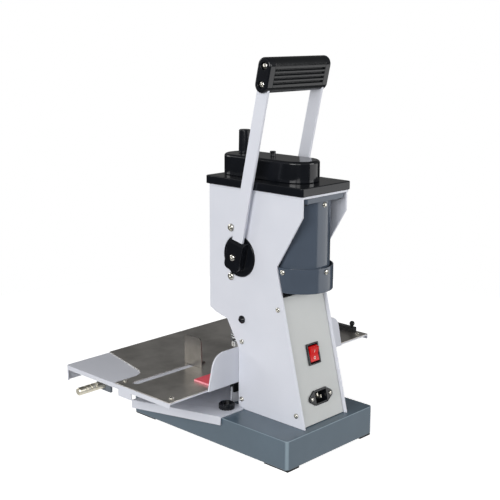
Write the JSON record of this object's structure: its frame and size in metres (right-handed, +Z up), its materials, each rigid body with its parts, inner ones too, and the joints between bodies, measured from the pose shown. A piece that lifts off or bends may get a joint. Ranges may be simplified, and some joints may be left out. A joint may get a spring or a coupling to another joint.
{
  "type": "electric single-hole paper punch",
  "caption": "Bench paper drill: a belt-driven hollow drill in a sheet-metal column, lowered by a two-armed hand lever onto a sliding table with a fence.",
  "frame": {"origin": "on the floor, under the middle of the machine's box with the table at rest", "axes": "+Z up, +X to the operator's right, +Y to the rear (switch and mains inlet side)"},
  "size_m": [0.491, 0.383, 0.5627],
  "materials": {
    "pan_paint": "satin blue-grey enamel",
    "plate_paint": "satin light grey powder coat",
    "panel_paint": "satin warm grey powder coat",
    "gloss_black": "polished black",
    "grip_plastic": "moulded black",
    "foot_rubber": "matt black",
    "belt_rubber": "matt black",
    "nickel_screw": "nickel plated",
    "black_screw": "blackened",
    "cast_aluminium": "as cast and machined",
    "bronze": "turned",
    "tool_steel": "ground",
    "spring_steel": "drawn wire",
    "foot_chrome": "chromed",
    "motor_paint": "gloss blue-grey enamel",
    "black_plastic": "moulded",
    "pin_nickel": "nickel plated",
    "red_plastic": "moulded red",
    "table_steel": "brushed stainless",
    "pad_plastic": "red",
    "slide_nylon": "natural nylon",
    "zinc_steel": "yellow passivated zinc",
    "hanger_paint": "grey"
  },
  "bodies": {
    "frame": {"base_pan": "pan_paint", "base_plate": "pan_paint", "base_feet": "foot_rubber", "right_side_plate": "plate_paint", "left_side_plate": "plate_paint", "rear_panel": "panel_paint", "front_panel": "panel_paint", "nose_panel": "plate_paint", "panel_screws": "nickel_screw", "hole_plugs": "gloss_black", "head_casting": "cast_aluminium", "casting_bolts": "nickel_screw", "shaft_bushes": "bronze", "return_spring": "spring_steel", "top_plate": "plate_paint", "top_cover": "gloss_black", "belt_cover": "gloss_black", "spindle_cap": "gloss_black", "motor_can": "motor_paint", "motor_strap": "motor_paint", "motor_screws": "black_screw", "drive_belt": "belt_rubber", "pulley_bearings": "tool_steel", "switch_body": "black_plastic", "inlet_body": "black_plastic", "inlet_pins": "pin_nickel"},
    "quill_unit": {"quill": "tool_steel", "spindle_bearings": "tool_steel", "pressure_spring": "spring_steel"},
    "spindle_unit": {"spindle": "tool_steel", "drill_chuck": "tool_steel", "drill_bit": "tool_steel"},
    "foot_unit": {"pressure_foot": "foot_chrome"},
    "pulley_unit": {"spindle_pulley": "cast_aluminium"},
    "rotor_unit": {"motor_rotor": "tool_steel", "motor_pulley": "cast_aluminium"},
    "lever_unit": {"lever_shaft": "tool_steel", "lever_pinion": "tool_steel", "lever_hubs": "gloss_black", "lever_arms": "plate_paint", "lever_grip": "grip_plastic", "grip_end_caps": "gloss_black", "lever_screws": "nickel_screw"},
    "rocker_unit": {"switch_rocker": "red_plastic"},
    "nut_unit": {"belt_cover_nut": "gloss_black"},
    "carriage_unit": {"carriage_plate": "plate_paint", "lock_studs": "tool_steel", "guide_rod": "zinc_steel", "rod_block": "cast_aluminium", "slide_pads": "slide_nylon"},
    "right_knob_unit": {"right_lock_knob": "gloss_black"},
    "left_knob_unit": {"left_lock_knob": "gloss_black"},
    "table_unit": {"table_tray": "plate_paint", "table_plate": "table_steel", "back_fence": "plate_paint", "drill_pad": "pad_plastic", "rod_hangers": "hanger_paint", "table_screws": "nickel_screw", "stop_bar": "gloss_black"},
    "guide_unit": {"side_guide": "table_steel"}
  },
  "joints": [
    {"name": "lever_swing", "type": "hinge", "parent": "frame", "child": "lever_unit", "pos_m": [0.0255, 0.0525, 0.2778], "axis": [1, 0, 0], "range_deg": [0, 100], "stiffness_Nm_per_rad": 2, "springref_deg": -57.3},
    {"name": "quill_slide", "type": "slide", "parent": "frame", "child": "quill_unit", "axis": [0, 0, -1], "range_m": [0, 0.0316]},
    {"name": "foot_slide", "type": "slide", "parent": "quill_unit", "child": "foot_unit", "axis": [0, 0, 1], "range_m": [0, 0.016], "stiffness_N_per_m": 600, "springref_m": -0.006, "deforming": ["pressure_spring"]},
    {"name": "motor_spin", "type": "hinge", "parent": "frame", "child": "rotor_unit", "pos_m": [0.0255, 0.13, 0.3], "axis": [0, 0, 1], "continuous": true},
    {"name": "pulley_spin", "type": "hinge", "parent": "frame", "child": "pulley_unit", "pos_m": [0.0255, 0.0165, 0.4], "axis": [0, 0, 1], "continuous": true},
    {"name": "spindle_spin", "type": "hinge", "parent": "quill_unit", "child": "spindle_unit", "pos_m": [0.0255, 0.0165, 0.3], "axis": [0, 0, 1], "continuous": true},
    {"name": "rocker_tip", "type": "hinge", "parent": "frame", "child": "rocker_unit", "pos_m": [0.0255, 0.15152, 0.14164], "axis": [1, 0, 0], "range_deg": [0, 22]},
    {"name": "cover_nut_turn", "type": "hinge", "parent": "frame", "child": "nut_unit", "pos_m": [0.0255, 0.0725, 0.424], "axis": [0, 0, 1], "continuous": true},
    {"name": "carriage_slide", "type": "slide", "parent": "frame", "child": "carriage_unit", "axis": [0, -1, 0], "range_m": [0, 0.01]},
    {"name": "right_knob_turn", "type": "hinge", "parent": "carriage_unit", "child": "right_knob_unit", "pos_m": [0.0935, 0.046, 0.053], "axis": [0, 0, 1], "continuous": true},
    {"name": "left_knob_turn", "type": "hinge", "parent": "carriage_unit", "child": "left_knob_unit", "pos_m": [-0.0425, 0.046, 0.053], "axis": [0, 0, 1], "continuous": true},
    {"name": "table_slide", "type": "slide", "parent": "carriage_unit", "child": "table_unit", "axis": [1, 0, 0], "range_m": [-0.03, 0.045]},
    {"name": "guide_slide", "type": "slide", "parent": "table_unit", "child": "guide_unit", "axis": [1, 0, 0], "range_m": [-0.005, 0.11]}
  ],
  "couplings": [
    {"joint": "quill_slide", "follows": "lever_swing", "m_per_rad": 0.018},
    {"joint": "pulley_spin", "follows": "motor_spin", "ratio": 0.61905},
    {"joint": "spindle_spin", "follows": "motor_spin", "ratio": 0.61905}
  ]
}
